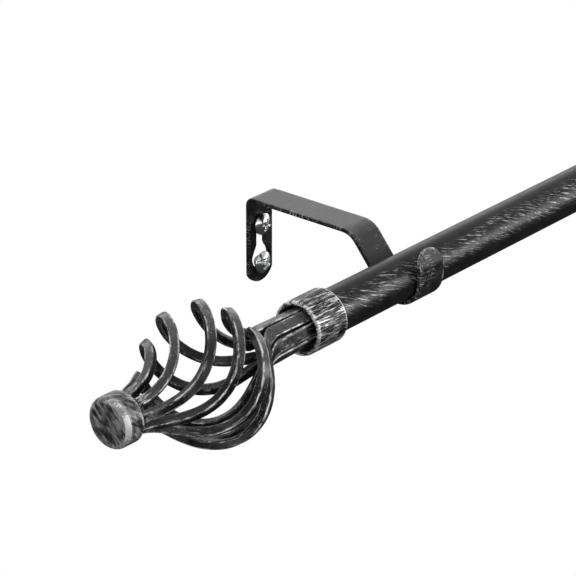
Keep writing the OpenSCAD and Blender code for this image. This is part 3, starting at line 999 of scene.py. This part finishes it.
def cage_bar(side, number):
    """One square bar of the cage, twisted with it and a wedge in the neck. Its faces are slightly uneven
    from forging, and its outer face is rubbed next to the cap."""
    node = f"{side}_cage_bar_{number}"
    line = bar_line(number)
    section, worn = bar_section()
    around = [0.0]
    for i, p in enumerate(section):
        around.append(around[-1] + math.dist(p, section[(i + 1) % len(section)]))
    rings, along, wear, total = [], [], [], 0.0
    for i, here in enumerate(line):
        ahead = line[min(i + 1, len(line) - 1)] - line[max(i - 1, 0)]
        t = Vector((-1, 0, 0)) if i == 0 or i >= len(line) - 8 else ahead.normalized()
        away = Vector((0, here.y, here.z)).normalized()
        n = (away - t * away.dot(t)).normalized()
        b = t.cross(n)
        total += (here - line[i - 1]).length if i else 0.0
        flare = smooth((NECK_END + FLARE_LEN - here.x) / FLARE_LEN)
        outer = 1 + (NECK_OUTER_W / BAR_W - 1) * flare
        inner = 1 + (NECK_INNER_W / BAR_W - 1) * flare
        root = smooth((total - 1.5) / 2.0) * smooth((9.5 - total) / 5.0)
        ring = []
        for (p, q), rub in zip(section, worn):
            swell = 1 + 0.025 * noise.noise(Vector((total * 0.22, p * 0.7 + number * 5.0, q * 0.7)))
            outward = p / BAR_W + 0.5
            ring.append(here + n * (p * swell - 0.02) + b * (q * swell * (inner + (outer - inner) * outward)))
            wear.append(max(rub, 0.8 * root * smooth((outward - 0.7) / 0.25)))
        rings.append(ring)
        along.append(total + number * 37.0)
    piece = loft(node + "_body", rings, along, around, wear, BARS, True, finial_place(side))
    finish_piece(piece, side + "_finial", "cage_finish", node)


for side in SIDES:
    collar(side)
    set_screw(side)
    neck_plug(side)
    end_cap(side)
    cap_weld(side)
    for number in range(1, BAR_COUNT + 1):
        cage_bar(side, number)


# ---------------------------------------------------------------- studio

# The dome's light by height above the horizon in degrees, and the plain surround that the camera sees
DOME = ((-90, 0.03), (-10, 0.05), (-3, 0.3), (3, 1.0), (10, 1.6), (20, 0.8), (30, 0.4), (45, 0.4), (90, 0.62))
DOME_STRENGTH = 2.8
SURROUND = 0.3572


def studio():
    """A pale floor under a dome of soft light, brightest a little above the horizon."""
    size, drop = 6.0, -0.3
    mesh = bpy.data.meshes.new("floor")
    corners = [(-size, -size, drop), (size, -size, drop), (size, size, drop), (-size, size, drop)]
    mesh.from_pydata(corners, [], [(0, 1, 2, 3)])
    floor = bpy.data.objects.new("floor", mesh)
    bpy.context.scene.collection.objects.link(floor)
    paper = bpy.data.materials.new("pale_floor")
    paper.use_nodes = True
    paper.node_tree.nodes["Principled BSDF"].inputs["Base Color"].default_value = (0.9, 0.9, 0.9, 1)
    paper.node_tree.nodes["Principled BSDF"].inputs["Roughness"].default_value = 0.9
    mesh.materials.append(paper)
    floor.visible_glossy = False
    floor.visible_diffuse = False

    world = bpy.data.worlds.new("studio")
    bpy.context.scene.world = world
    world.use_nodes = True
    tree = world.node_tree
    sky = tree.nodes["Background"]
    coords = tree.nodes.new("ShaderNodeTexCoord")
    split = tree.nodes.new("ShaderNodeSeparateXYZ")
    ramp = tree.nodes.new("ShaderNodeValToRGB")
    seen = tree.nodes.new("ShaderNodeLightPath")
    choose = tree.nodes.new("ShaderNodeMix")
    choose.data_type = "RGBA"
    raised = tree.nodes.new("ShaderNodeMapRange")
    raised.inputs["From Min"].default_value = -1.0
    tree.links.new(coords.outputs["Generated"], split.inputs[0])
    tree.links.new(split.outputs["Z"], raised.inputs["Value"])
    tree.links.new(raised.outputs["Result"], ramp.inputs["Fac"])
    stops = [((math.sin(math.radians(rise)) + 1) / 2, level / 2) for rise, level in DOME]
    ramp.color_ramp.elements[0].position = stops[0][0]
    ramp.color_ramp.elements[1].position = stops[-1][0]
    for position, _ in stops[1:-1]:
        ramp.color_ramp.elements.new(position)
    for element, (_, level) in zip(ramp.color_ramp.elements, stops):
        element.color = (level, level, level, 1)
    tree.links.new(seen.outputs["Is Camera Ray"], choose.inputs["Factor"])
    tree.links.new(ramp.outputs["Color"], choose.inputs["A"])
    choose.inputs["B"].default_value = (SURROUND, SURROUND, SURROUND, 1)
    tree.links.new(choose.outputs["Result"], sky.inputs["Color"])
    sky.inputs["Strength"].default_value = DOME_STRENGTH


def wall():
    """The white wall that the brackets are screwed to. It shows from the room side only."""
    size = 4.0
    mesh = bpy.data.meshes.new("wall")
    corners = [(-size, 0, -0.3), (size, 0, -0.3), (size, 0, size), (-size, 0, size)]
    mesh.from_pydata(corners, [], [(0, 1, 2, 3)])
    backdrop = bpy.data.objects.new("wall", mesh)
    bpy.context.scene.collection.objects.link(backdrop)
    paint = bpy.data.materials.new("white_wall")
    paint.use_nodes = True
    tree = paint.node_tree
    tree.nodes.clear()
    side = tree.nodes.new("ShaderNodeNewGeometry")
    white = tree.nodes.new("ShaderNodeEmission")
    clear = tree.nodes.new("ShaderNodeBsdfTransparent")
    choose = tree.nodes.new("ShaderNodeMixShader")
    out = tree.nodes.new("ShaderNodeOutputMaterial")
    tree.links.new(side.outputs["Backfacing"], choose.inputs[0])
    tree.links.new(white.outputs[0], choose.inputs[1])
    tree.links.new(clear.outputs[0], choose.inputs[2])
    tree.links.new(choose.outputs[0], out.inputs["Surface"])
    mesh.materials.append(paint)
    for kind in ("visible_diffuse", "visible_glossy", "visible_transmission", "visible_shadow"):
        setattr(backdrop, kind, False)


def softbox(name, place, aim, size, power):
    data = bpy.data.lights.new(name, "AREA")
    data.shape = "DISK"
    data.size = size
    data.energy = power
    lamp = bpy.data.objects.new(name, data)
    lamp.location = place
    lamp.rotation_euler = (Vector(aim) - Vector(place)).to_track_quat("-Z", "Y").to_euler()
    bpy.context.scene.collection.objects.link(lamp)


def camera():
    """Looks down along the rod from beyond its left end, as a long lens sees it."""
    azimuth, elevation, roll = math.radians(-50.01), math.radians(24.23), math.radians(0.12)
    distance = 0.952
    aim = Vector((-0.0664, -REACH * MM, 0.0168))
    away = Vector((math.sin(azimuth), -math.cos(azimuth), 0)) * math.cos(elevation)
    away.z = math.sin(elevation)
    data = bpy.data.cameras.new("camera")
    data.lens = 178.4
    data.sensor_width = 36.0
    data.clip_end = 50.0
    eye = bpy.data.objects.new("camera", data)
    eye.location = aim + away * distance
    eye.rotation_euler = (away.to_track_quat("Z", "Y") @ mathutils.Quaternion((0, 0, 1), roll)).to_euler()
    bpy.context.scene.collection.objects.link(eye)
    bpy.context.scene.camera = eye


studio()
wall()
softbox("key", (1.07, -1.16, 0.3), (-0.05, -0.07, 0), 0.6, 6.0)
camera()
bpy.context.scene.view_settings.view_transform = "Standard"
